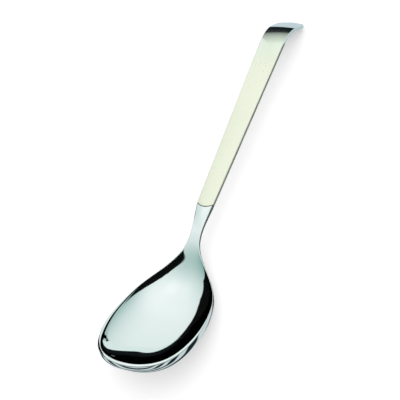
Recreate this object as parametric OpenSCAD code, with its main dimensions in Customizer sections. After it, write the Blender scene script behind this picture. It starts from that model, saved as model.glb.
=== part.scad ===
// Buffet serving spoon with a hollow handle and a hooked end.
// Lengths are millimetres. The spoon lies bowl up, at rest on the bottom of its bowl and on its hook.
// +X runs from the bowl to the hook, +Y across the spoon, +Z up.
// The sizes are measured from the joint, where the neck meets the handle.

/* [Bowl] */
// Distance from the joint to the tip of the bowl
bowl_reach = 136.7; // [128:0.1:146]
// Full width of the bowl over its rim
bowl_w = 66.4; // [58:0.2:74]
// Depth of the bowl below its rim
bowl_depth = 12; // [10:0.5:16]
// Angle that the bowl's depth leans out towards its tip
bowl_a = 19; // [12:1:28]
// Thickness of the bowl under its deepest point
bowl_wall = 1.6; // [1.3:0.1:2.2]
// Width of the flat lip round the bowl
lip_w = 1.8; // [1.3:0.1:2.3]
// Height of the lip's outer edge
lip_h = 3; // [2.2:0.1:3.4]
// Height of the bowl's tip above the joint
tip_rise = 20.6; // [16:0.2:26]
// Depth of the rim's lowest control point below the joint
throat_drop = 13.6; // [10:0.2:17]

/* [Neck] */
// Distance from the joint to the shoulders of the bowl
neck_reach = 34.7; // [32:0.1:38]
// Distance from the joint to the narrowest place of the neck
waist_reach = 21.7; // [19:0.1:25]
// Width of the neck at its narrowest place
waist_w = 8.1; // [7.2:0.1:9.4]
// Depth of the neck's top face below the joint at its narrowest place
waist_drop = 3.5; // [2.6:0.1:4.6]
// Height of the neck's sides at its narrowest place
neck_side_h = 2.2; // [1.8:0.1:2.8]
// Depth of the neck's rounded underside below its sides
neck_belly = 1.2; // [0.8:0.1:1.8]
// Width of the rounding along the neck's top edges
neck_edge = 0.6; // [0.4:0.1:0.9]

/* [Tang] */
// Length of the tang inside the handle
tang_l = 62; // [45:1:80]
// Width of the tang at the joint
tang_w = 7.6; // [6:0.2:8.4]
// Width of the tang at its end
tang_tip_w = 4.6; // [3:0.2:5.6]
// Thickness of the tang
tang_t = 1.8; // [1.4:0.1:2]

/* [Handle] */
// Length of the straight part of the handle
handle_l = 148.4; // [120:0.1:180]
// Width of the handle at the joint
joint_w = 12.6; // [12:0.1:14]
// Width of the handle where the hook starts
handle_w = 19.6; // [17:0.2:23]
// Height of the handle's sides
side_h = 2.8; // [2.5:0.1:3.4]
// Depth of the rounded back below the sides, at the joint
back_joint = 2.2; // [2:0.1:2.8]
// Depth of the rounded back below the sides, at its fullest
back_full = 3.4; // [2.8:0.1:4.2]
// Height of the front face's crown
crown_h = 0.4; // [0.2:0.1:0.7]
// Rounding of the front face's edges
edge_r = 0.5; // [0.3:0.1:0.7]
// Thickness of the shells' sheet
wall = 0.7; // [0.5:0.05:0.8]
// How far the mouth of the handle curves out towards the bowl
mouth_sag = 2.6; // [1.6:0.2:3.4]

/* [Hook] */
// Radius of the bend, at the front face
hook_r = 44.4; // [36:0.2:56]
// Angle that the hook turns back through
hook_a = 40; // [30:1:48]
// Length of the tongue beyond the bend
tongue_l = 17; // [14:0.5:23]
// Width of the hook near its end
hook_w = 22.4; // [19:0.2:25]
// Length of the rounded end of the tongue
nose_l = 7; // [5:0.5:9]
// Depth of the rounded back below the sides, at the hook's end
back_hook = 0.9; // [0.6:0.1:1.4]

/* [Fits] */
// Thickness of the solder between the two shells
solder_t = 0.2; // [0.15:0.05:0.3]
// Thickness of the sealing line between neck and handle
seal_t = 0.45; // [0.35:0.05:0.6]
// Depth of the sealing line and of the solder below the surface
recess = 0.15; // [0.1:0.05:0.2]
// Clearance between pieces that fit into each other
fit = 0.05; // [0.03:0.01:0.08]

/* [Hidden] */

// Colours
polished = [0.80, 0.86, 0.85];
satin = [0.90, 0.93, 0.86];
solder_grey = [0.62, 0.64, 0.64];
cement_tan = [0.72, 0.66, 0.54];
seal_dark = [0.16, 0.17, 0.17];

// Counts of the lofts; the bowl's odd count gives it a narrow flat to stand on
span_steps = 6;
bowl_across = 17;
across = 16;
straight_rings = 10;
bend_rings = 9;

// Control rows of the rim, from the tip of the bowl to its shoulders: share of the bowl's length
// beyond the shoulders, share of its half width, share of the height from the throat to the tip
tip_row_share = 0.968;
bowl_shares = [[1.5 - tip_row_share / 2, 0, 1.02], [tip_row_share, 0.602, 0.97],
               [0.84, 0.898, 0.748], [0.656, 1.027, 0.506], [0.468, 0.985, 0.254],
               [0.287, 0.858, 0.056], [0.128, 0.5, 0], [0, 0.154, 0.167]];
shoulder_half = bowl_shares[7][1] * bowl_w / 2;

// The waist row is set so that the rim passes through the waist
waist_half = (3 * waist_w - shoulder_half - joint_w / 2) / 4;
rim_rows = concat(
    [for (r = bowl_shares) [neck_reach + r[0] * (bowl_reach - neck_reach), r[1] * bowl_w / 2,
                            r[2] * (tip_rise + throat_drop) - throat_drop]],
    [[waist_reach, waist_half, -waist_drop], [0, joint_w / 2, 0]]);
spans = len(rim_rows) - 1;
shoulder_row = 7;
waist_row = 8;

// Row i of the rim, mirrored past the tip and carried straight on past the joint
function rim_row(i) = i < 0 ? [rim_rows[1][0], -rim_rows[1][1], rim_rows[1][2]]
    : i > spans ? 2 * rim_rows[spans] - rim_rows[spans - 1] : rim_rows[i];

// Point and direction of the rim at t, which counts rows from the tip: a uniform cubic B-spline
function rim_k(t) = min(floor(t), spans - 1);
function rim(t) = let (k = rim_k(t), f = t - k, g = 1 - f)
    (g * g * g * rim_row(k - 1) + (3 * f * f * f - 6 * f * f + 4) * rim_row(k)
     + (3 * g * g * g - 6 * g * g + 4) * rim_row(k + 1) + f * f * f * rim_row(k + 2)) / 6;
function rim_dir(t) = let (k = rim_k(t), f = t - k, g = 1 - f)
    (f * f * (rim_row(k + 2) - rim_row(k + 1)) + g * g * (rim_row(k) - rim_row(k - 1))
     + (1 + 2 * f * g) * (rim_row(k + 1) - rim_row(k))) / 2;

// Smooth step from 0 at a to 1 at b
function smooth(a, b, x) = let (s = max(0, min(1, (x - a) / (b - a)))) s * s * (3 - 2 * s);
function mix(a, b, s) = a + (b - a) * s;

// Across a section, v runs from -1 to 1 and lies closer near the edges
function across_v(j, n = across) = sin(90 * (2 * j / n - 1));
// Shapes that fall from 1 in the middle to 0 at the end: the power sets how flat the middle is, and
// its root how steep the end is. The bowl is rounder inside than underneath, so its wall thickens
// towards the rim
in_powers = [2.6, 0.7];
out_powers = [4.5, 0.5];
in_way_powers = [2, 0.75];
out_way_powers = [3.2, 0.5];
round_share = 0.25;
function fall(v, w) = pow(max(0, 1 - pow(abs(v), w[0])), w[1]);
function soft(v) = (1 - v * v) * (1 + round_share * v * v);
// Along the bowl, 0 at the throat and at the tip and 1 at the deepest place
deep_share = 0.48;
function keel(s, w) = s < deep_share ? smooth(0, deep_share, s) : fall((s - deep_share) / (1 - deep_share), w);

// Sizes of the neck and bowl at t
function lip_at(t) = mix(lip_w, neck_edge, smooth(shoulder_row - 2, shoulder_row, t));
function edge_h_at(t) = mix(mix(lip_h, neck_side_h, smooth(shoulder_row - 2, waist_row, t)),
                            side_h, smooth(waist_row, spans, t));
function belly_at(t) = mix(mix(0, neck_belly, smooth(shoulder_row - 3, waist_row, t)),
                           back_joint, smooth(waist_row, spans, t));
function joint_at(t) = smooth(waist_row, spans, t);
function lean_at(t) = bowl_a * (1 - smooth(shoulder_row - 3, shoulder_row, t));

// How far the mouth line runs out towards the bowl at y
function sag_at(y) = mouth_sag * (1 - pow(2 * y / joint_w, 2));

// Depth of the hollow at u, which starts at the shoulders and ends at the tip, drawn in by inset
function hollow_at(u, inset, depth, w) =
    depth * keel(max(0, min(1, (u - neck_reach - inset) / (bowl_reach - neck_reach - 2 * inset))), w);

// A point of the neck and bowl: u towards the bowl from the joint, y across, z up, d deep in the bowl
function neck_pt(t, u, y, z, d) =
    [-u - d * sin(lean_at(t)) - joint_at(t) * (seal_t + sag_at(y)), y, z - d * cos(lean_at(t))];

// Closed section at t, from the left inner edge of the lip over the top and back underneath
function bowl_ring(t) =
    let (p = rim(t), d = rim_dir(t), l = lip_at(t),
         n = mix([-d[1], d[0]] / norm([d[0], d[1]]), [0, -1], joint_at(t)),
         ui = p[0] + l * n[0], hi = p[1] + l * n[1],
         cut = hollow_at(ui, lip_w, bowl_depth, in_way_powers), top = crown_h * joint_at(t),
         e = edge_h_at(t), b = belly_at(t),
         under = hollow_at(p[0], 0, bowl_depth + bowl_wall - lip_h, out_way_powers))
    concat(
        [for (j = [0:bowl_across]) let (v = across_v(j, bowl_across))
            neck_pt(t, ui, v * hi, p[2] + top * (1 - v * v), cut * fall(v, in_powers))],
        [neck_pt(t, p[0], p[1], p[2] - l * joint_at(t) / 2, 0)],
        [for (j = [bowl_across:-1:0]) let (v = across_v(j, bowl_across))
            neck_pt(t, p[0], v * p[1], p[2] - b * (1 - v * v), e + under * fall(v, out_powers))],
        [neck_pt(t, p[0], -p[1], p[2] - l * joint_at(t) / 2, 0)]);

// The tang in the same number of points: half width h, from the joint at x, with rounded sides
tang_z = -(side_h + back_joint) / 2 + crown_h / 2;
function tang_ring(h, x, sag) =
    let (f = h - tang_t / 4, top = tang_z + tang_t / 2, low = tang_z - tang_t / 2)
    let (line = [for (j = [0:bowl_across]) f * across_v(j, bowl_across)])
    concat([for (y = line) [x - sag * (seal_t + sag_at(y)), y, top]],
           [[x - sag * (seal_t + sag_at(h)), h, tang_z]],
           [for (y = line) [x - sag * (seal_t + sag_at(y)), -y, low]],
           [[x - sag * (seal_t + sag_at(h)), -h, tang_z]]);

// Distance along the handle to where the mouth's curve has died out, and to its end
path_bend = hook_r * hook_a * PI / 180;
path_l = handle_l + path_bend + tongue_l;
nose_from = path_l - nose_l;

// A point on the handle: s along it from the joint, y across, z out of the front face
function bend_pt(a, y, z) = [handle_l + (hook_r + z) * sin(a), y, (hook_r + z) * cos(a) - hook_r];
function path_pt(s, y, z) =
    s <= handle_l ? [s, y, z]
    : s <= handle_l + path_bend ? bend_pt((s - handle_l) / path_bend * hook_a, y, z)
    : bend_pt(hook_a, y, z) + (s - handle_l - path_bend) * [cos(hook_a), 0, -sin(hook_a)];

// Half width of the handle at s, with the rounded nose
nose_power = 2.6;
function side_half(s) = s <= handle_l ? mix(joint_w, handle_w, s / handle_l) / 2
    : mix(handle_w, hook_w, min(1, (s - handle_l) / (nose_from - handle_l))) / 2;
function nose_of(s) = max(0, (s - nose_from) / nose_l);
function nose_half(s) = pow(1 - pow(nose_of(s), nose_power), 1 / nose_power);
function back_at(s) = s < handle_l / 2 ? mix(back_joint, back_full, smooth(0, handle_l / 2, s))
    : mix(back_full, back_hook, smooth(handle_l / 2, path_l, s));

// The shells lie on both sides of the parting line, with the solder between them
parting_share = 0.55;
parting = side_h * parting_share;
front_low = -parting + solder_t / 2;
back_high = -parting - solder_t / 2;

// Section lines in y and z, with the same number of points outside and inside
function front_line(w, r, top) =
    let (c = r * (1 - sin(45)))
    concat([[-w, front_low], [-w, top - r], [c - w, top - c]],
           [for (j = [0:2:across]) let (v = across_v(j)) [v * (w - r), top + crown_h * (1 - v * v)]],
           [[w - c, top - c], [w, top - r], [w, front_low]]);
function back_line(w, side, belly) =
    concat([[w, back_high], [w, mix(back_high, side, 1 / 2)]],
           [for (j = [across:-2:0]) let (v = across_v(j)) [v * w, side - belly * soft(v)]],
           [[-w, mix(back_high, side, 1 / 2)], [-w, back_high]]);
// A flat line of n points from y = a to y = b
function flat_line(a, b, z, n) = [for (i = [0:n - 1]) [mix(a, b, i / (n - 1)), z]];
front_n = across / 2 + 7;
back_n = across / 2 + 5;

// Places of the rings along the handle; the shells are hollow up to the nose
sag_l = 14;
nose_shares = [0, 0.3, 0.52, 0.7, 0.83, 0.92, 0.97, 0.995];
ring_s = concat([0, sag_l / 3, sag_l * 2 / 3],
                [for (i = [0:straight_rings]) mix(sag_l, handle_l, i / straight_rings)],
                [for (i = [1:bend_rings]) handle_l + path_bend * i / bend_rings],
                [mix(handle_l + path_bend, nose_from, 1 / 2), nose_from - wall],
                [for (q = nose_shares) nose_from + nose_l * q]);
last_ring = len(ring_s) - 1;
last_hollow = last_ring - len(nose_shares);

// A ring's points, drawn out by the curve of the mouth near the joint
function ring_pts(s, line) = [for (p = line)
    path_pt(s, p[0], p[1]) - [sag_at(p[0]) * (1 - smooth(0, sag_l, s)), 0, 0]];

// Half width, side and back of the handle's section at s
function half_at(s) = side_half(s) * nose_half(s);
function inner_half(s) = half_at(s) - min(wall, half_at(s) / 3);
nose_side_share = 0.5;
function side_at(s) = mix(back_high, -side_h, mix(nose_side_share, 1, nose_half(s)));
function belly_of(s) = back_at(s) * (1 - pow(nose_of(s), nose_power));
inner_r = edge_r / 2;

front_outer = [for (s = ring_s) ring_pts(s, front_line(half_at(s), edge_r, 0))];
front_inner = [for (i = [0:last_ring]) let (s = ring_s[i], w = inner_half(s))
    ring_pts(s, i > last_hollow ? flat_line(-w, w, front_low, front_n) : front_line(w, inner_r, -wall))];
back_outer = [for (s = ring_s) ring_pts(s, back_line(half_at(s), side_at(s), belly_of(s)))];
back_inner = [for (i = [0:last_ring]) let (s = ring_s[i], w = inner_half(s))
    ring_pts(s, i > last_hollow ? flat_line(w, -w, back_high, back_n)
        : back_line(w, side_at(s) + wall, belly_of(s)))];

// Two triangles for the four corners a, b, c, d, leaving out any that has no area
function quad(a, b, c, d) = concat(a == b || b == c || c == a ? [] : [[a, b, c]],
                                   a == c || c == d || d == a ? [] : [[a, c, d]]);

// A sheet between an outer and an inner line of n points, lofted along its rings
module loft_sheet(outer, inner) {
    m = len(outer);
    n = len(outer[0]);
    pts = [for (i = [0:m - 1]) each concat(outer[i], inner[i])];
    function o(i, j) = 2 * n * i + j;
    function q(i, j) = 2 * n * i + n + j;
    faces = concat(
        [for (i = [0:m - 2], j = [0:n - 2]) each quad(o(i, j), o(i, j + 1), o(i + 1, j + 1), o(i + 1, j))],
        [for (i = [0:m - 2], j = [0:n - 2]) each quad(q(i, j), q(i + 1, j), q(i + 1, j + 1), q(i, j + 1))],
        [for (i = [0:m - 2]) each quad(o(i, 0), o(i + 1, 0), q(i + 1, 0), q(i, 0))],
        [for (i = [0:m - 2]) each quad(o(i, n - 1), q(i, n - 1), q(i + 1, n - 1), o(i + 1, n - 1))],
        [for (j = [0:n - 2]) each quad(o(0, j), q(0, j), q(0, j + 1), o(0, j + 1))],
        // The far end is split from its middle outwards, because its corners can lie in one line
        [for (j = [0:n - 2]) each
            j < n / 2 ? quad(q(m - 1, j), o(m - 1, j), o(m - 1, j + 1), q(m - 1, j + 1))
            : quad(o(m - 1, j), o(m - 1, j + 1), q(m - 1, j + 1), q(m - 1, j))]);
    polyhedron(pts, faces, convexity = 6);
}

// A sleeve between closed outer and inner loops of n points, lofted along its rings
module loft_sleeve(outer, inner) {
    m = len(outer);
    n = len(outer[0]);
    pts = [for (i = [0:m - 1]) each concat(outer[i], inner[i])];
    function o(i, j) = 2 * n * i + j % n;
    function q(i, j) = 2 * n * i + n + j % n;
    faces = concat(
        [for (i = [0:m - 2], j = [0:n - 1]) each quad(o(i, j), o(i, j + 1), o(i + 1, j + 1), o(i + 1, j))],
        [for (i = [0:m - 2], j = [0:n - 1]) each quad(q(i, j), q(i + 1, j), q(i + 1, j + 1), q(i, j + 1))],
        [for (j = [0:n - 1]) each quad(o(0, j), q(0, j), q(0, j + 1), o(0, j + 1))],
        [for (j = [0:n - 1]) each quad(o(m - 1, j), o(m - 1, j + 1), q(m - 1, j + 1), q(m - 1, j))]);
    polyhedron(pts, faces, convexity = 6);
}

// The tip of the bowl: inner and outer edge of its lip, and the lip's lower edge
tip = rim(0);
tip_pts = [neck_pt(0, tip[0] - lip_w, 0, tip[2], 0), neck_pt(0, tip[0], 0, tip[2], 0),
           neck_pt(0, tip[0], 0, tip[2], lip_h)];

// The forging: bowl, neck and tang in one loft that closes on the tip of the bowl
module forging() {
    n = 2 * bowl_across + 4;
    rings = concat([for (i = [1:spans * span_steps]) bowl_ring(i / span_steps)],
                   [tang_ring(tang_w / 2, 0, 1), tang_ring(tang_w / 2, seal_t, 0),
                    tang_ring(tang_tip_w / 2, tang_l, 0)]);
    m = len(rings);
    pts = concat(tip_pts, [for (r = rings) each r]);
    // Ring 0 stands for the three points of the tip
    function at(i, j) = let (k = j % n)
        i > 0 ? 3 + (i - 1) * n + k : k <= bowl_across ? 0 : k == bowl_across + 1 || k == n - 1 ? 1 : 2;
    faces = concat(
        [for (i = [0:m - 1], j = [0:n - 1]) each quad(at(i, j), at(i, j + 1), at(i + 1, j + 1), at(i + 1, j))],
        [for (j = [0:bowl_across - 1])
            each quad(at(m, j), at(m, j + 1), at(m, n - 3 - j), at(m, n - 2 - j))],
        [[at(m, bowl_across), at(m, bowl_across + 1), at(m, bowl_across + 2)],
         [at(m, 0), at(m, n - 2), at(m, n - 1)]]);
    polyhedron(pts, faces, convexity = 8);
}

// Closed outline of the handle's section at s, drawn in by d
function section_loop(s, d, r) = let (w = side_half(s) - d)
    concat(front_line(w, r, -d), back_line(w, -side_h + d, back_at(s)));

// The hole that the tang needs, in as many points as a closed outline
function tang_half(s) = mix(tang_w, tang_tip_w, max(0, s) / tang_l) / 2;
function tang_hole(s) = let (h = tang_half(s) + fit, t = tang_t / 2 + fit)
    concat(flat_line(-h, h, tang_z + t, front_n), flat_line(h, -h, tang_z - t, back_n));

// How the spoon lies: the keel of the bowl and the back of the hook stand on the surface
keel_j = bowl_across + 2 + (bowl_across - 1) / 2;
keel_pts = [for (i = [1:spans * span_steps]) bowl_ring(i / span_steps)[keel_j]];
hook_pts = [for (s = ring_s) path_pt(s, 0, side_at(s) - belly_of(s))];
function height(p, a) = p[0] * sin(a) + p[2] * cos(a);
function lowest(pts, a, i = 0, best = undef) = i == len(pts) ? best
    : lowest(pts, a, i + 1, best == undef || height(pts[i], a) < height(best, a) ? pts[i] : best);
function rest_a(a, turns) = turns == 0 ? a
    : let (k = lowest(keel_pts, a), h = lowest(hook_pts, a))
      rest_a(-atan2(h[2] - k[2], h[0] - k[0]), turns - 1);
lie_a = rest_a(0, 5);
lie_z = -height(lowest(keel_pts, lie_a), lie_a);
function forward(p) = p[0] * cos(lie_a) - p[2] * sin(lie_a);
tip_x = min([for (p = concat(tip_pts, keel_pts)) forward(p)]);
end_x = max([for (p = front_outer[last_ring]) forward(p)]);
lie_x = -(tip_x + end_x) / 2;

module lying() translate([lie_x, 0, lie_z]) rotate([0, -lie_a, 0]) children();

// Bowl, neck and tang, forged in one piece and polished
module bowl_and_neck() color(polished) lying() forging();

// Pressed front half of the hollow handle, with the satin face
module handle_front_shell() color(satin) lying() loft_sheet(front_outer, front_inner);

// Pressed back half of the hollow handle, rounded to the palm
module handle_back_shell() color(satin) lying() loft_sheet(back_outer, back_inner);

// Solder line that joins the two shells along both sides and round the hook's end
module seam_solder() {
    function edge(s, d, side) =
        ring_pts(s - nose_of(s) * d, [for (z = [front_low, back_high]) [side * (half_at(s) - d), z]]);
    function run(d) = concat([for (s = ring_s) edge(s, d, 1)],
                             [for (i = [last_ring:-1:0]) edge(ring_s[i], d, -1)]);
    color(solder_grey) lying() loft_sheet(run(recess), run(wall));
}

// Cement that fills the handle round the tang
module tang_cement() {
    places = [fit, sag_l / 3, sag_l, tang_l];
    color(cement_tan) lying()
        loft_sleeve([for (s = places) ring_pts(s, section_loop(s, wall + 2 * fit, inner_r))],
                    [for (s = places) ring_pts(s, tang_hole(s))]);
}

// Dark sealing line between the neck's shoulder and the mouth of the handle
module joint_seal() {
    function slid(line, x) = [for (p = line) [x - sag_at(p[0]), p[0], p[1]]];
    places = [fit - seal_t, -fit];
    color(seal_dark) lying()
        loft_sleeve([for (x = places) slid(section_loop(0, recess, edge_r), x)],
                    [for (x = places) slid(tang_hole(0), x)]);
}

bowl_and_neck();
handle_front_shell();
handle_back_shell();
seam_solder();
tang_cement();
joint_seal();
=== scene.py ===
# Buffet serving spoon: polished bowl and neck, hollow satin handle with a hooked end.
# Metres, in the frame of the CAD model: +X from the bowl to the hook, +Y across, +Z up.
import math
import bpy
import bmesh
import numpy as np
from mathutils import Euler, Matrix, Vector


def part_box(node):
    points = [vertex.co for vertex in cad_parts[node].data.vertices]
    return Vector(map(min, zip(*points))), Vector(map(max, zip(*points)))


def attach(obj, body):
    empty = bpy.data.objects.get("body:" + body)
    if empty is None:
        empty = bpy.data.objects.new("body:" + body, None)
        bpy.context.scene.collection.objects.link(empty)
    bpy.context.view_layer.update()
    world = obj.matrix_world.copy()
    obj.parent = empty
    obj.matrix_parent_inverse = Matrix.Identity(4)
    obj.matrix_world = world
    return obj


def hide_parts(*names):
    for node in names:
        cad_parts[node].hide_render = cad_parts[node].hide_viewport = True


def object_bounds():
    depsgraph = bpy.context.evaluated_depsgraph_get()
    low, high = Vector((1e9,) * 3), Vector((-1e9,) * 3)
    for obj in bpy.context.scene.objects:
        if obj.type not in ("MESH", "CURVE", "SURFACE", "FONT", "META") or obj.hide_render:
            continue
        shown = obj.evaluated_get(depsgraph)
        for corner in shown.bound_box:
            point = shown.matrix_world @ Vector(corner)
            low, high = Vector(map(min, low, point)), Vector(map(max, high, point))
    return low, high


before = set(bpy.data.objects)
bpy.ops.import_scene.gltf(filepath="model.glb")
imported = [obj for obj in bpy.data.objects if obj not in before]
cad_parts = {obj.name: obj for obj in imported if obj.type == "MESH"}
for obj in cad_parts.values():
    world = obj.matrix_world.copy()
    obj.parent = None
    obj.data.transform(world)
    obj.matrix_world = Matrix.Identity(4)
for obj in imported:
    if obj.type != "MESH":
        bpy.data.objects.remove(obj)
cad_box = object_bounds()

# Driving sizes, the same as in the CAD model
bowl_reach = 0.1367
bowl_w = 0.0664
bowl_depth = 0.012
bowl_a = math.radians(19)
bowl_wall = 0.0016
lip_w = 0.0018
lip_h = 0.003
tip_rise = 0.0206
throat_drop = 0.0136
neck_reach = 0.0347
waist_reach = 0.0217
waist_w = 0.0081
waist_drop = 0.0035
neck_side_h = 0.0022
neck_belly = 0.0012
neck_edge = 0.0006
tang_l = 0.062
tang_w = 0.0076
tang_tip_w = 0.0046
tang_t = 0.0018
handle_l = 0.1484
joint_w = 0.0126
handle_w = 0.0196
side_h = 0.0028
back_joint = 0.0022
back_full = 0.0034
crown_h = 0.0004
edge_r = 0.0005
wall = 0.0007
mouth_sag = 0.0026
hook_r = 0.0444
hook_a = math.radians(40)
tongue_l = 0.017
hook_w = 0.0224
nose_l = 0.007
back_hook = 0.0009
solder_t = 0.0002
seal_t = 0.00045

# Shares and powers of the CAD model's curves
tip_row_share = 0.968
bowl_shares = [[1.5 - tip_row_share / 2, 0, 1.02], [tip_row_share, 0.602, 0.97],
               [0.84, 0.898, 0.748], [0.656, 1.027, 0.506], [0.468, 0.985, 0.254],
               [0.287, 0.858, 0.056], [0.128, 0.5, 0], [0, 0.154, 0.167]]
in_powers = (2.6, 0.7)
out_powers = (4.5, 0.5)
in_way_powers = (2.0, 0.75)
out_way_powers = (3.2, 0.5)
deep_share = 0.48
nose_power = 2.6
round_share = 0.25
parting_share = 0.55
nose_side_share = 0.5
sag_l = 0.014
shoulder_row = 7
waist_row = 8

# Roundings of the lip, which the CAD model leaves sharp, and the largest share of a size that they take
lip_inner_r = 0.0004
lip_outer_r = 0.0005
rounding_share = 0.45
inward_share = 0.4
# Rows between which the lip narrows towards the neck, and the share of its width that is left
lip_narrows = (2.2, 4.8)
lip_thin_share = 0.25
# How much nearer to the neck the hollow starts on the finished surface
hollow_ahead = 0.008
# Roundings where the neck meets the handle, which leave a fine groove
joint_r = 0.0003
# Largest share of the back shell's side that its wall takes, and how square the tang's section is
thin_share = 0.45
tang_square = 1.6

# Numbers of sections along the bowl and neck, and along the handle
tip_steps, bowl_steps, neck_steps, joint_steps = 44, 150, 50, 6
mouth_steps, straight_steps, bend_steps, tongue_steps, nose_steps = 12, 60, 60, 8, 26


def mix(a, b, s):
    return a + (b - a) * s


def smooth(a, b, x):
    s = np.clip((x - a) / (b - a), 0, 1)
    return s * s * (3 - 2 * s)


def fall(v, powers):
    return np.maximum(0, 1 - np.abs(v) ** powers[0]) ** powers[1]


# The rim of the bowl and neck: a uniform cubic B-spline through its control rows
half_shoulder = bowl_shares[-1][1] * bowl_w / 2
half_waist = (3 * waist_w - half_shoulder - joint_w / 2) / 4
rows = [[neck_reach + a * (bowl_reach - neck_reach), b * bowl_w / 2, c * (tip_rise + throat_drop) - throat_drop]
        for a, b, c in bowl_shares]
rows += [[waist_reach, half_waist, -waist_drop], [0, joint_w / 2, 0]]
spans = len(rows) - 1
mirrored = [rows[1][0], -rows[1][1], rows[1][2]]
beyond = [2 * a - b for a, b in zip(rows[-1], rows[-2])]
control = np.array([mirrored] + rows + [beyond])


def rim(t):
    k = np.minimum(t.astype(int), spans - 1)
    f = (t - k)[:, None]
    g = 1 - f
    a, b, c, d = control[k], control[k + 1], control[k + 2], control[k + 3]
    point = (g**3 * a + (3 * f**3 - 6 * f**2 + 4) * b + (3 * g**3 - 6 * g**2 + 4) * c + f**3 * d) / 6
    way = (f * f * (d - c) + g * g * (b - a) + (1 + 2 * f * g) * (c - b)) / 2
    return point, way


def hollow_at(u, inset, depth, powers, ahead=0.0):
    start, end = neck_reach + inset, bowl_reach - inset
    deepest = mix(start, end, deep_share)
    falling = fall(np.clip((u - deepest) / (end - deepest), 0, 1), powers)
    return depth * np.where(u < deepest, smooth(start - ahead, deepest, u), falling)


def sag_at(y):
    return mouth_sag * (1 - (2 * y / joint_w) ** 2)


def corner(a, b, c, steps):
    # Points of a rounding from a to c that turns at b
    s = np.linspace(0, 1, steps)[None, :, None]
    return (1 - s) ** 2 * a[:, None] + 2 * s * (1 - s) * b[:, None] + s * s * c[:, None]


def half_sections(t, half_steps=34, corner_steps=6):
    """The right half of the section at each t, from the middle of the top round to the middle underneath."""
    p, way = rim(t)
    at_joint = smooth(waist_row, spans, t)
    lip = lip_w * mix(1, lip_thin_share, smooth(*lip_narrows, t))
    lip = mix(lip, neck_edge, smooth(shoulder_row - 2, shoulder_row, t))
    edge_h = mix(mix(lip_h, neck_side_h, smooth(shoulder_row - 2, waist_row, t)), side_h, at_joint)
    belly = mix(mix(0, neck_belly, smooth(shoulder_row - 3, waist_row, t)), back_joint, at_joint)
    lean = bowl_a * (1 - smooth(shoulder_row - 3, shoulder_row, t))
    across = np.stack([-way[:, 1], way[:, 0]], 1) / np.hypot(way[:, 0], way[:, 1])[:, None]
    across = mix(across, np.array([0.0, -1.0]), at_joint[:, None])
    inner = p[:, :2] + lip[:, None] * across
    inner[:, 1] = np.maximum(inner[:, 1], 0)
    cut = hollow_at(inner[:, 0], lip_w, bowl_depth, in_way_powers, hollow_ahead)
    under = hollow_at(p[:, 0], 0, bowl_depth + bowl_wall - lip_h, out_way_powers)

    def lines(u, y, z, d):
        # u towards the bowl, y across, z up, d deep in the bowl
        x = -u - d * np.sin(lean)[:, None] - at_joint[:, None] * (seal_t + sag_at(y))
        return np.stack([x, y, z - d * np.cos(lean)[:, None]], -1)

    def one(u, y, z, d):
        return lines(u[:, None], y[:, None], z[:, None], d[:, None])[:, 0]

    r = np.minimum(lip_inner_r, rounding_share * cut)
    r = np.minimum(r, rounding_share * inner[:, 1])
    share = np.clip(r / np.maximum(cut, 1e-9), 0, 1)
    v_low = np.where(cut > 0, (1 - share ** (1 / in_powers[1])) ** (1 / in_powers[0]), 1)
    v = v_low[:, None] * np.sin(np.linspace(0, math.pi / 2, half_steps))[None]
    top_z = p[:, 2][:, None] + (crown_h * at_joint)[:, None] * (1 - v * v)
    top = lines(inner[:, :1], v * inner[:, 1:2], top_z, cut[:, None] * fall(v, in_powers))
    inner_edge = one(inner[:, 0], inner[:, 1], p[:, 2], 0 * cut)
    outer_edge = one(p[:, 0], p[:, 1], p[:, 2] - lip * at_joint / 2, 0 * cut)
    foot = one(p[:, 0], p[:, 1], p[:, 2], edge_h)
    width = np.linalg.norm(outer_edge - inner_edge, axis=1)[:, None]
    outward = (outer_edge - inner_edge) / np.maximum(width, 1e-9)
    height = np.linalg.norm(foot - outer_edge, axis=1)[:, None]
    inward_r = np.minimum(r[:, None], inward_share * width)
    outer_r = np.minimum(lip_outer_r, rounding_share * width)
    first = corner(top[:, -1], inner_edge, inner_edge + outward * inward_r, corner_steps)
    second = corner(outer_edge - outward * outer_r, outer_edge, outer_edge + (foot - outer_edge) / height * outer_r,
                    corner_steps)
    w = np.sin(np.linspace(math.pi / 2, 0, half_steps))[None]
    low_z = p[:, 2][:, None] - belly[:, None] * (1 - w * w)
    bottom = lines(p[:, :1], w * p[:, 1:2], low_z, edge_h[:, None] + under[:, None] * fall(w, out_powers))
    return np.concatenate([top[:, :-1], first, second, bottom], 1)


def closed_rings(half):
    # The left half mirrors the right one; the two middle points are shared
    other = half[:, -2:0:-1] * np.array([1, -1, 1])
    return np.concatenate([half, other], 1)


# The hollow handle follows a straight line and then the bend of the hook
bend_l = hook_r * hook_a
path_l = handle_l + bend_l + tongue_l
nose_from = path_l - nose_l


def along_path(s, y, z):
    a = np.clip((s - handle_l) / bend_l, 0, 1) * hook_a
    rest = np.maximum(s - handle_l - bend_l, 0)
    x = np.minimum(s, handle_l) + (hook_r + z) * np.sin(a) + rest * np.cos(a)
    up = np.where(s <= handle_l, z, (hook_r + z) * np.cos(a) - hook_r - rest * np.sin(a))
    return np.stack([x, y, up], -1)


def half_width(s):
    straight = mix(joint_w, handle_w, np.clip(s / handle_l, 0, 1))
    hooked = mix(handle_w, hook_w, np.clip((s - handle_l) / (nose_from - handle_l), 0, 1))
    return np.where(s <= handle_l, straight, hooked) / 2


def nose_fall(s):
    return 1 - np.clip((s - nose_from) / nose_l, 0, 1) ** nose_power


def nose_half(s):
    return nose_fall(s) ** (1 / nose_power)


def belly_of(s):
    rising = mix(back_joint, back_full, smooth(0, handle_l / 2, s))
    falling = mix(back_full, back_hook, smooth(handle_l / 2, path_l, s))
    return np.where(s < handle_l / 2, rising, falling) * nose_fall(s)


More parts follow.
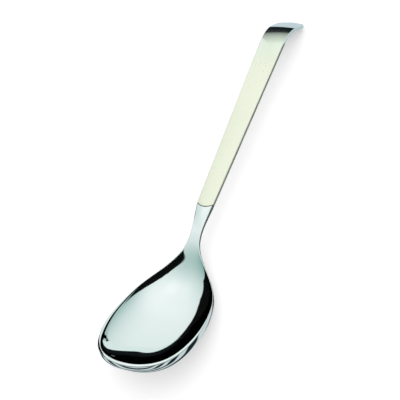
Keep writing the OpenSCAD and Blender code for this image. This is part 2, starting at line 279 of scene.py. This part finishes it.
def back_side(s):
    # Height of the back shell's lower edge
    return mix(back_high, -side_h, mix(nose_side_share, 1, nose_half(s)))


parting = side_h * parting_share
front_low = solder_t / 2 - parting
back_high = -solder_t / 2 - parting
face_steps = 28
side_steps = 8


def front_lines(w, r, top):
    """Section of the front shell's surface from the left lower edge over the face to the right one."""
    turn = np.linspace(0, math.pi / 2, side_steps)
    corner_y = w[:, None] - r + r * np.cos(turn)[None]
    corner_z = top[:, None] - r + r * np.sin(turn)[None]
    v = np.sin(np.linspace(math.pi / 2, -math.pi / 2, 2 * face_steps))[None, 1:-1]
    face_y = v * (w[:, None] - r)
    face_z = top[:, None] + crown_h * (1 - v * v)
    y = np.concatenate([w[:, None], corner_y, face_y, -corner_y[:, ::-1], -w[:, None]], 1)
    low = np.full((len(w), 1), front_low)
    z = np.concatenate([low, corner_z, face_z, corner_z[:, ::-1], low], 1)
    return -y, z


def back_lines(w, side, belly):
    v = np.sin(np.linspace(math.pi / 2, -math.pi / 2, 2 * face_steps))[None]
    y = v * w[:, None]
    z = side[:, None] - belly[:, None] * (1 - v * v) * (1 + round_share * v * v)
    high = np.full((len(w), 1), back_high)
    half_way = (high + side[:, None]) / 2
    edge = w[:, None]
    return (np.concatenate([edge, edge, y, -edge, -edge], 1), np.concatenate([high, half_way, z, half_way, high], 1))


def handle_rings(s, y, z):
    points = along_path(s[:, None] + 0 * y, y, z)
    points[..., 0] -= sag_at(y) * (1 - smooth(0, sag_l, s))[:, None]
    return points


def drawn_in(distance):
    # Quarter round at an end of the joint
    near = joint_r - np.clip(distance, 0, joint_r)
    return joint_r - np.sqrt(joint_r**2 - near**2)


def handle_places():
    rounded = joint_r * (1 - np.cos(np.linspace(0, math.pi / 2, joint_steps)[:-1]))
    mouth = np.linspace(joint_r, sag_l, mouth_steps)[:-1]
    straight = np.linspace(sag_l, handle_l, straight_steps)
    bend = handle_l + bend_l * np.arange(1, bend_steps + 1) / bend_steps
    tongue = np.linspace(handle_l + bend_l, nose_from, tongue_steps)[1:]
    # Closer together towards the end, and just short of it
    nose = nose_from + nose_l * np.sin(np.linspace(0, math.pi / 2, nose_steps))[1:] ** 0.9 * 0.999
    return np.concatenate([rounded, mouth, straight, bend, tongue, nose])


def rest_place():
    """How the spoon lies, on the keel of its bowl and the back of its hook: its turn, and its place in x and z."""
    t = np.linspace(0.05, shoulder_row, 600)
    half = half_sections(t)
    keel_line = half[:, -1]
    s = np.linspace(handle_l, path_l * 0.9999, 400)
    hook_line = along_path(s, 0 * s, back_side(s) - belly_of(s))
    angle = 0.0
    for _ in range(6):
        lows = [line[np.argmin(line[:, 0] * math.sin(angle) + line[:, 2] * math.cos(angle))]
                for line in (keel_line, hook_line)]
        angle = -math.atan2(lows[1][2] - lows[0][2], lows[1][0] - lows[0][0])
    low = lows[0][0] * math.sin(angle) + lows[0][2] * math.cos(angle)
    tip_x = min(half[..., 0].ravel() * math.cos(angle) - half[..., 2].ravel() * math.sin(angle))
    return angle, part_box("bowl_and_neck")[0].x - tip_x, -low


lie_angle, lie_x, lie_z = rest_place()


def lying(points):
    p = np.asarray(points, float)
    c, s = math.cos(lie_angle), math.sin(lie_angle)
    return np.stack([p[..., 0] * c - p[..., 2] * s + lie_x, p[..., 1], p[..., 0] * s + p[..., 2] * c + lie_z], -1)


def mesh_object(name, points, faces, sharp=40):
    mesh = bpy.data.meshes.new(name)
    # The smooth curves would pass the facets of the CAD model by up to 0.02 mm; they stay inside its box
    mesh.from_pydata(np.clip(lying(points), *cad_box).tolist(), [], faces)
    bm = bmesh.new()
    bm.from_mesh(mesh)
    bmesh.ops.remove_doubles(bm, verts=bm.verts, dist=2e-6)
    bmesh.ops.dissolve_degenerate(bm, edges=bm.edges, dist=1e-7)
    bmesh.ops.recalc_face_normals(bm, faces=bm.faces)
    bm.to_mesh(mesh)
    bm.free()
    mesh.shade_smooth()
    mesh.set_sharp_from_angle(angle=math.radians(sharp))
    obj = bpy.data.objects.new(name, mesh)
    bpy.context.scene.collection.objects.link(obj)
    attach(obj, "root")
    return obj


def grid_faces(rings, n, start=0, loop=True):
    faces = []
    for i in range(rings - 1):
        for j in range(n if loop else n - 1):
            a = start + i * n + j
            b = start + i * n + (j + 1) % n
            faces.append((a, b, b + n, a + n))
    return faces


def build_bowl():
    # One row is waist_reach long at the joint, where the last sections lie close together for the rounding
    rounded = joint_r * (1 - np.sin(np.linspace(0, math.pi / 2, joint_steps))) / waist_reach
    t = np.concatenate([np.linspace(0, 1, tip_steps)[:-1] ** 1.3, np.linspace(1, shoulder_row, bowl_steps)[:-1],
                        np.linspace(shoulder_row, spans - 0.02, neck_steps), spans - rounded])
    rings = closed_rings(half_sections(t))
    n = rings.shape[1]
    # The neck's end is drawn in a little all round
    shrink = drawn_in((spans - t) * waist_reach)[:, None]
    middle = -(side_h + back_joint) / 2
    rings[..., 1] *= 1 - shrink / (joint_w / 2)
    rings[..., 2] += (middle - rings[..., 2]) * shrink / -middle
    faces = grid_faces(len(rings), n)
    points = rings.reshape(-1, 3)
    # The tang goes on into the handle from the end of the neck
    tang_z = crown_h / 2 - (side_h + back_joint) / 2
    turn = np.linspace(0, 2 * math.pi, n, endpoint=False)
    last = len(points) - n
    for x, h in ((0, tang_w / 2), (tang_l, tang_tip_w / 2)):
        y = np.clip(tang_square * np.sin(turn), -1, 1) * h
        z = tang_z + np.clip(tang_square * np.cos(turn), -1, 1) * tang_t / 2
        sag = (seal_t + sag_at(y)) if x == 0 else 0 * y
        ring = np.stack([x - sag, y, z], -1)
        points = np.concatenate([points, ring])
        faces += [(last + j, last + (j + 1) % n, last + n + (j + 1) % n, last + n + j) for j in range(n)]
        last += n
    faces.append(tuple(last + j for j in range(n)))
    return mesh_object("bowl_neck_polished", points, faces)


def build_sheet(name, outer, inner):
    rings, n = outer.shape[:2]
    count = rings * n
    points = np.concatenate([outer.reshape(-1, 3), inner.reshape(-1, 3)])
    faces = grid_faces(rings, n, 0, False) + [f[::-1] for f in grid_faces(rings, n, count, False)]
    for i in range(rings - 1):
        for j in (0, n - 1):
            a, b = i * n + j, (i + 1) * n + j
            faces.append((a, b, b + count, a + count))
    for i in (0, rings - 1):
        for j in range(n - 1):
            a = i * n + j
            faces.append((a, a + 1, a + 1 + count, a + count))
    return mesh_object(name, points, faces)


def build_front():
    s = handle_places()
    w = half_width(s) * nose_half(s)
    inner_w = w - np.minimum(wall, w / 3)
    drawn = drawn_in(s)
    outer = handle_rings(s, *front_lines(w - drawn, edge_r, -drawn))
    inner = handle_rings(s, *front_lines(inner_w, edge_r / 2, 0 * s - wall))
    return build_sheet("handle_front_satin", outer, inner)


def build_back():
    s = handle_places()
    w = half_width(s) * nose_half(s)
    inner_w = w - np.minimum(wall, w / 3)
    side = back_side(s)
    belly = belly_of(s)
    thin = np.minimum(wall, thin_share * (back_high - side))
    drawn = drawn_in(s)
    outer = handle_rings(s, *back_lines(w - drawn, side + drawn, belly))
    inner = handle_rings(s, *back_lines(inner_w, side + thin, belly))
    return build_sheet("handle_back_satin", outer, inner)


# Materials
def new_material(name):
    mat = bpy.data.materials.new(name)
    mat.use_nodes = True
    return mat, mat.node_tree.nodes, mat.node_tree.links, mat.node_tree.nodes["Principled BSDF"]


def noise(nodes, links, coords, scale, stretch=(1, 1, 1), detail=4.0):
    mapping = nodes.new("ShaderNodeMapping")
    mapping.inputs["Scale"].default_value = stretch
    links.new(coords.outputs["Object"], mapping.inputs["Vector"])
    tex = nodes.new("ShaderNodeTexNoise")
    tex.inputs["Scale"].default_value = scale
    tex.inputs["Detail"].default_value = detail
    links.new(mapping.outputs["Vector"], tex.inputs["Vector"])
    return tex.outputs["Fac"]


def ramp(nodes, links, fac, low, high, at=(0.3, 0.7)):
    node = nodes.new("ShaderNodeValToRGB")
    node.color_ramp.elements[0].position = at[0]
    node.color_ramp.elements[0].color = (*low, 1)
    node.color_ramp.elements[1].position = at[1]
    node.color_ramp.elements[1].color = (*high, 1)
    links.new(fac, node.inputs["Fac"])
    return node.outputs["Color"]


def spread(nodes, links, fac, low, high, at=(0.3, 0.7)):
    node = nodes.new("ShaderNodeMapRange")
    node.inputs["From Min"].default_value = at[0]
    node.inputs["From Max"].default_value = at[1]
    node.inputs["To Min"].default_value = low
    node.inputs["To Max"].default_value = high
    links.new(fac, node.inputs["Value"])
    return node.outputs["Result"]


def bump(nodes, links, height, distance, strength, shader):
    node = nodes.new("ShaderNodeBump")
    node.inputs["Distance"].default_value = distance
    node.inputs["Strength"].default_value = strength
    links.new(height, node.inputs["Height"])
    links.new(node.outputs["Normal"], shader.inputs["Normal"])


def math_node(nodes, links, operation, a, b=None):
    node = nodes.new("ShaderNodeMath")
    node.operation = operation
    for socket, value in zip(node.inputs, (a, b)):
        if isinstance(value, (int, float)):
            socket.default_value = value
        elif value is not None:
            links.new(value, socket)
    return node.outputs["Value"]


def object_axes(nodes, links, coords):
    parts = nodes.new("ShaderNodeSeparateXYZ")
    links.new(coords.outputs["Object"], parts.inputs["Vector"])
    return parts.outputs


def either_shader(nodes, links, fac, a, b):
    node = nodes.new("ShaderNodeMixShader")
    for socket, value in zip(node.inputs, (fac, a, b)):
        links.new(value, socket)
    return node.outputs["Shader"]


def polished_steel():
    mat, nodes, links, shader = new_material("polished_steel")
    coords = nodes.new("ShaderNodeTexCoord")
    shader.inputs["Metallic"].default_value = 1.0
    cloud = noise(nodes, links, coords, 18.0)
    links.new(ramp(nodes, links, cloud, (0.80, 0.855, 0.85), (0.84, 0.885, 0.885)), shader.inputs["Base Color"])
    wipes = noise(nodes, links, coords, 60.0, (1, 5, 5), 6.0)
    links.new(spread(nodes, links, wipes, 0.025, 0.05), shader.inputs["Roughness"])
    hair = noise(nodes, links, coords, 900.0, (0.15, 1, 1), 2.0)
    bump(nodes, links, hair, 0.000004, 0.12, shader)
    return mat


def blended(nodes, links, fac, a, b, kind="RGBA"):
    # Sockets of the mix node by number, because its float and colour sockets share their names
    node = nodes.new("ShaderNodeMix")
    node.data_type = kind
    first, result = (6, 2) if kind == "RGBA" else (2, 0)
    links.new(fac, node.inputs[0])
    links.new(a, node.inputs[first])
    links.new(b, node.inputs[first + 1])
    return node.outputs[result]


def worn_edges(nodes, links):
    # Edges that hands and cloths have rubbed bright
    shape = nodes.new("ShaderNodeNewGeometry")
    return spread(nodes, links, shape.outputs["Pointiness"], 0.0, 0.7, (0.53, 0.62))


# Where along the handle the satin passes into the polish round the hook
polish_from = 0.098
polish_to = 0.142


def satin_steel(name, low, high):
    """Brushed along the handle; the polish round the hook shows the plain colour of the steel."""
    mat, nodes, links, shader = new_material(name)
    coords = nodes.new("ShaderNodeTexCoord")
    at_hook = spread(nodes, links, object_axes(nodes, links, coords)["X"], 0.0, 1.0, (polish_from, polish_to))
    polish = math_node(nodes, links, "MAXIMUM", at_hook, worn_edges(nodes, links))
    cloud = noise(nodes, links, coords, 25.0)
    satin = ramp(nodes, links, cloud, low, high)
    steel = ramp(nodes, links, cloud, (0.73, 0.80, 0.75), (0.78, 0.85, 0.80))
    links.new(blended(nodes, links, polish, satin, steel), shader.inputs["Base Color"])
    grain = noise(nodes, links, coords, 1400.0, (0.04, 1, 1), 3.0)
    rough = spread(nodes, links, grain, 0.27, 0.35)
    slick = spread(nodes, links, grain, 0.05, 0.09)
    links.new(blended(nodes, links, polish, rough, slick, "FLOAT"), shader.inputs["Roughness"])
    # The brushed lines scatter part of the light like a matt surface
    links.new(spread(nodes, links, polish, 0.7, 1.0, (0.0, 1.0)), shader.inputs["Metallic"])
    bump(nodes, links, grain, 0.00001, 0.15, shader)
    return mat


def plain_grey(name, low, high, metallic, rough):
    mat, nodes, links, shader = new_material(name)
    coords = nodes.new("ShaderNodeTexCoord")
    shader.inputs["Metallic"].default_value = metallic
    speck = noise(nodes, links, coords, 1200.0)
    links.new(ramp(nodes, links, speck, low, high), shader.inputs["Base Color"])
    links.new(spread(nodes, links, speck, *rough), shader.inputs["Roughness"])
    bump(nodes, links, speck, 0.00003, 0.3, shader)
    return mat


def dress(obj, mat):
    obj.data.materials.clear()
    obj.data.materials.append(mat)


bowl = build_bowl()
dress(bowl, polished_steel())
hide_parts("bowl_and_neck")
front = build_front()
dress(front, satin_steel("satin_front", (0.88, 0.90, 0.74), (0.92, 0.94, 0.79)))
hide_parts("handle_front_shell")
back = build_back()
dress(back, satin_steel("satin_back", (0.84, 0.88, 0.80), (0.88, 0.92, 0.84)))
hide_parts("handle_back_shell")

looks = {
    "seam_solder": plain_grey("solder", (0.42, 0.44, 0.43), (0.52, 0.54, 0.53), 0.8, (0.35, 0.5)),
    "tang_cement": plain_grey("cement", (0.50, 0.44, 0.33), (0.58, 0.52, 0.41), 0.0, (0.75, 0.9)),
    "joint_seal": plain_grey("seal", (0.010, 0.011, 0.011), (0.022, 0.024, 0.024), 0.0, (0.45, 0.6)),
}
for node_name, look in looks.items():
    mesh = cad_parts[node_name].data
    mesh.materials.clear()
    mesh.materials.append(look)


# Studio
def staged_quad(name, corners, material):
    mesh = bpy.data.meshes.new(name)
    mesh.from_pydata(corners, [], [(0, 1, 2, 3)])
    mesh.materials.append(material)
    obj = bpy.data.objects.new(name, mesh)
    bpy.context.scene.collection.objects.link(obj)
    return obj


def card(name, corners, material):
    """A card that shows only as a reflection in the metal."""
    obj = staged_quad(name, corners, material)
    obj.visible_camera = False
    obj.visible_diffuse = False
    obj.visible_shadow = False


def glowing(name, low, high, kind="cloud", at=(0.38, 0.66), near=None):
    """The material of a card: cloudy, with rings round the bowl, or brighter with height.

    With near it is clear to rays longer than that.
    """
    mat = bpy.data.materials.new(name)
    mat.use_nodes = True
    nodes, links = mat.node_tree.nodes, mat.node_tree.links
    nodes.clear()
    coords = nodes.new("ShaderNodeTexCoord")
    glow = nodes.new("ShaderNodeEmission")
    out = nodes.new("ShaderNodeOutputMaterial")
    if kind == "cloud":
        fac = noise(nodes, links, coords, 60.0, (1, 1, 1), 2.0)
    elif kind == "rings":
        mapping = nodes.new("ShaderNodeMapping")
        mapping.inputs["Location"].default_value = (rings_round, 0, 0)
        links.new(coords.outputs["Object"], mapping.inputs["Vector"])
        wave = nodes.new("ShaderNodeTexWave")
        wave.wave_type = "RINGS"
        wave.rings_direction = "SPHERICAL"
        wave.inputs["Scale"].default_value = 11.0
        wave.inputs["Distortion"].default_value = 2.5
        wave.inputs["Detail"].default_value = 2.0
        wave.inputs["Detail Scale"].default_value = 1.2
        links.new(mapping.outputs["Vector"], wave.inputs["Vector"])
        fac = wave.outputs["Fac"]
    else:
        rise = spread(nodes, links, object_axes(nodes, links, coords)["Z"], 0.0, 1.0, at)
        fac = math_node(nodes, links, "POWER", rise, 0.5)
        at = (0.0, 1.0)
    links.new(ramp(nodes, links, fac, low, high, at), glow.inputs["Color"])
    # A second reflection finds no light left
    path = nodes.new("ShaderNodeLightPath")
    links.new(math_node(nodes, links, "LESS_THAN", path.outputs["Ray Depth"], 1.5), glow.inputs["Strength"])
    surface = glow.outputs["Emission"]
    if near is not None:
        far = math_node(nodes, links, "GREATER_THAN", path.outputs["Ray Length"], near)
        surface = either_shader(nodes, links, far, surface, nodes.new("ShaderNodeBsdfTransparent").outputs["BSDF"])
    links.new(surface, out.inputs["Surface"])
    return mat


# Cards on the table: name, x and y from and to, height, darkest and lightest colour. The bowl's outside sees
# rings, the handle's side a dark grey, and the wall of the bowl near its tip a black beside the throat
black = (0.004, 0.005, 0.006), (0.008, 0.01, 0.012)
under_z, left_z, over_z = 0.0003, 0.0005, 0.0006
card_x = -0.075
end_x = 0.142
table_cards = [
    ("card_bowl", -0.40, card_x, -0.30, 0.30, under_z, (0.01, 0.015, 0.02), (0.66, 0.74, 0.75)),
    ("card_side", card_x, end_x, -0.07, 0.0, over_z, (0.085, 0.11, 0.095), (0.13, 0.155, 0.14)),
    ("card_throat", card_x, -0.025, 0.0, 0.09, over_z, *black),
    ("card_tongue", end_x, 0.32, -0.10, 0.15, over_z, (0.62, 0.71, 0.78), (0.66, 0.75, 0.82)),
    ("card_far", card_x, 3.0, 0.0, 3.0, under_z, (0.77, 0.89, 0.85), (0.81, 0.93, 0.89)),
    ("card_right", card_x, 3.0, -3.0, 0.0, under_z, (0.42, 0.57, 0.52), (0.50, 0.64, 0.59)),
]
# The black beside the throat goes on into the distance, to the left of the handle
left_corners = [(card_x, 0, left_z), (2.9, 2.5, left_z), (2.9, 3.0, left_z), (card_x, 3.0, left_z)]
# Cards that only close surfaces reflect, and how far they are seen
near_cards = ("card_side", "card_tongue")
seen_near = 0.16
# The rings lie round the middle of the bowl
rings_round = 0.1
# The dark strip beyond the hook: the spot that sees it, its direction and distance from there, half its width,
# and the heights where it starts, where it begins to brighten and where it ends
strip_at = (0.1465, 0.0)
strip_azimuth = math.radians(22)
strip_distance = 0.06
strip_half_w = 0.03
strip_z = (0.003, 0.036, 0.12)


def cards():
    for name, x0, x1, y0, y1, z, low, high in table_cards:
        corners = [(x0, y0, z), (x1, y0, z), (x1, y1, z), (x0, y1, z)]
        kind = "rings" if name == "card_bowl" else "cloud"
        card(name, corners, glowing(name, low, high, kind, near=seen_near if name in near_cards else None))
    card("card_left", left_corners, glowing("card_left", *black))
    c, s = math.cos(strip_azimuth), math.sin(strip_azimuth)
    ends = [(strip_at[0] + strip_distance * c - side * strip_half_w * s,
             strip_at[1] + strip_distance * s + side * strip_half_w * c) for side in (-1, 1)]
    corners = [(x, y, z) for (x, y), z in ((ends[0], strip_z[0]), (ends[1], strip_z[0]),
                                          (ends[1], strip_z[2]), (ends[0], strip_z[2]))]
    card("card_hook", corners,
         glowing("card_hook", (0.008, 0.012, 0.015), (0.96, 1.05, 0.95), "height", strip_z[1:], seen_near))


floor_size = 6.0
# Light that the floor adds to itself, so that it is white and keeps a soft shadow
floor_glow = 0.45


def build_floor():
    mat, nodes, links, shader = new_material("pale_floor")
    shader.inputs["Base Color"].default_value = (0.86, 0.86, 0.86, 1)
    shader.inputs["Roughness"].default_value = 0.9
    shader.inputs["Specular IOR Level"].default_value = 0.1
    path = nodes.new("ShaderNodeLightPath")
    seen = math_node(nodes, links, "MAXIMUM", path.outputs["Is Camera Ray"], path.outputs["Is Glossy Ray"])
    shader.inputs["Emission Color"].default_value = (1, 1, 1, 1)
    links.new(math_node(nodes, links, "MULTIPLY", seen, floor_glow), shader.inputs["Emission Strength"])
    h = floor_size / 2
    staged_quad("floor", [(-h, -h, 0), (h, -h, 0), (h, h, 0), (-h, h, 0)], mat)


# Height in degrees of the dark surroundings above the horizon, at each azimuth in degrees
dark_top = [(0, -20), (20, -14), (30, -8), (40, 2), (50, 17), (60, 29), (70, 35), (100, 34), (107, 20), (112, 4),
            (120, 12), (130, 34), (140, 44), (150, 51), (160, 56), (170, 60), (180, 64), (190, 67), (200, 70),
            (240, 70), (250, 67), (260, 64), (270, 59), (280, 50), (290, 35), (300, 8), (310, -9), (360, -20)]
dark_edge = 1.5
dark_level = 0.006
# Brightness of the light by its direction: the same everywhere, with x y z, with their squares, and with xy yz zx
light_even = 0.75
light_plain = (0.298, 0.068, 0.255)
light_squares = (-0.207, -0.193, 0.0)
light_products = (0.24, -0.129, -0.034)
# One soft lamp high up on the left: direction, brightness and how narrow it is
lamp_way = (0.106, 0.290, 0.951)
lamp_level = 0.10
lamp_narrow = 40.0
# Colours of the light where it is dimmest and brightest, and their brightness as shares of the full one
light_full = 1.1
light_colours = (0.188, 0.40, 0.361), (1.065, 1.10, 1.081)
light_shares = (0.364, 1.0)
# What matt surfaces get of the white
matt_level = 0.7


def build_world():
    """White for the camera; the metal sees a pale green-grey light, white towards the top, over dark surroundings."""
    world = bpy.data.worlds.new("studio")
    bpy.context.scene.world = world
    world.use_nodes = True
    nodes, links = world.node_tree.nodes, world.node_tree.links
    background = nodes["Background"]

    def calc(operation, a, b=None):
        return math_node(nodes, links, operation, a, b)

    def vector_node(operation, a, b):
        node = nodes.new("ShaderNodeVectorMath")
        node.operation = operation
        links.new(a, node.inputs[0])
        if isinstance(b, tuple):
            node.inputs[1].default_value = b
        else:
            links.new(b, node.inputs[1])
        return node.outputs["Value" if operation == "DOT_PRODUCT" else "Vector"]

    direction = nodes.new("ShaderNodeTexCoord").outputs["Generated"]
    parts = nodes.new("ShaderNodeSeparateXYZ")
    links.new(direction, parts.inputs["Vector"])
    x, y, z = parts.outputs["X"], parts.outputs["Y"], parts.outputs["Z"]

    # The dark surroundings, up to a height that changes with the azimuth
    turn = calc("FRACT", calc("ADD", calc("DIVIDE", calc("ARCTAN2", y, x), 2 * math.pi), 1.0))
    height = calc("DIVIDE", calc("ARCSINE", z), math.pi / 180)
    tops = nodes.new("ShaderNodeValToRGB")
    elements = tops.color_ramp.elements
    elements.remove(elements[1])
    for i, (azimuth, top) in enumerate(dark_top):
        element = elements.new(azimuth / 360) if i else elements[0]
        element.color = ((top + 90) / 180,) * 3 + (1,)
    links.new(turn, tops.inputs["Fac"])
    top = calc("SUBTRACT", calc("MULTIPLY", tops.outputs["Color"], 180.0), 90.0)
    above = nodes.new("ShaderNodeMapRange")
    above.interpolation_type = "SMOOTHSTEP"
    above.inputs["From Min"].default_value = -dark_edge
    above.inputs["From Max"].default_value = dark_edge
    above.inputs["To Min"].default_value = dark_level
    links.new(calc("SUBTRACT", height, top), above.inputs["Value"])

    # The light above them
    moved_on = nodes.new("ShaderNodeCombineXYZ")
    for socket, part in zip(moved_on.inputs, (y, z, x)):
        links.new(part, socket)
    plain = vector_node("DOT_PRODUCT", direction, light_plain)
    squares = vector_node("DOT_PRODUCT", vector_node("MULTIPLY", direction, direction), light_squares)
    mixed = vector_node("MULTIPLY", direction, moved_on.outputs["Vector"])
    products = vector_node("DOT_PRODUCT", mixed, light_products)
    lamp = calc("POWER", calc("MAXIMUM", vector_node("DOT_PRODUCT", direction, lamp_way), 0.0), lamp_narrow)
    plain = calc("ADD", plain, calc("MULTIPLY", lamp, lamp_level))
    light = calc("ADD", calc("ADD", plain, light_even), calc("ADD", squares, products))
    tint = ramp(nodes, links, calc("DIVIDE", light, light_full), *light_colours, light_shares)

    # The world counts itself as one more bounce; a second reflection finds no light left
    path = nodes.new("ShaderNodeLightPath")
    first = calc("LESS_THAN", path.outputs["Ray Depth"], 2.5)
    mirrored = nodes.new("ShaderNodeBackground")
    links.new(tint, mirrored.inputs["Color"])
    links.new(calc("MULTIPLY", above.outputs["Result"], first), mirrored.inputs["Strength"])
    background.inputs["Color"].default_value = (1, 1, 1, 1)
    seen = calc("MAXIMUM", path.outputs["Is Camera Ray"], path.outputs["Is Transmission Ray"])
    links.new(spread(nodes, links, seen, matt_level, 1.0, (0.0, 1.0)), background.inputs["Strength"])
    either = either_shader(nodes, links, path.outputs["Is Glossy Ray"], background.outputs["Background"],
                           mirrored.outputs["Background"])
    links.new(either, nodes["World Output"].inputs["Surface"])


def area_lamp(name, at, size, power):
    data = bpy.data.lights.new(name, "AREA")
    data.shape = "DISK"
    data.size = size
    data.energy = power
    lamp = bpy.data.objects.new(name, data)
    lamp.location = at
    lamp.rotation_euler = (-Vector(at)).to_track_quat("-Z", "Y").to_euler()
    lamp.visible_glossy = False
    bpy.context.scene.collection.objects.link(lamp)


build_floor()
cards()
build_world()
area_lamp("overhead", (-0.3, -0.2, 2.0), 2.4, 8.0)

# Camera at the photograph's viewing angle, placed from the joint and carried along by the spoon's lie
camera_at = (-0.3139527, -0.294167, 0.5622117)
camera_turns = (34.454195, 16.401625, -68.943117)
camera_data = bpy.data.cameras.new("camera")
camera_data.lens = 90.0
camera_data.sensor_width = 36.0
camera_data.clip_start = 0.01
camera = bpy.data.objects.new("camera", camera_data)
turned = Euler([math.radians(a) for a in camera_turns], "XYZ").to_matrix().to_4x4()
lie = Matrix.Translation((lie_x, 0, lie_z)) @ Matrix.Rotation(-lie_angle, 4, "Y")
camera.matrix_world = lie @ Matrix.Translation(camera_at) @ turned
bpy.context.scene.collection.objects.link(camera)
scene = bpy.context.scene
scene.camera = camera
scene.view_settings.view_transform = "Standard"
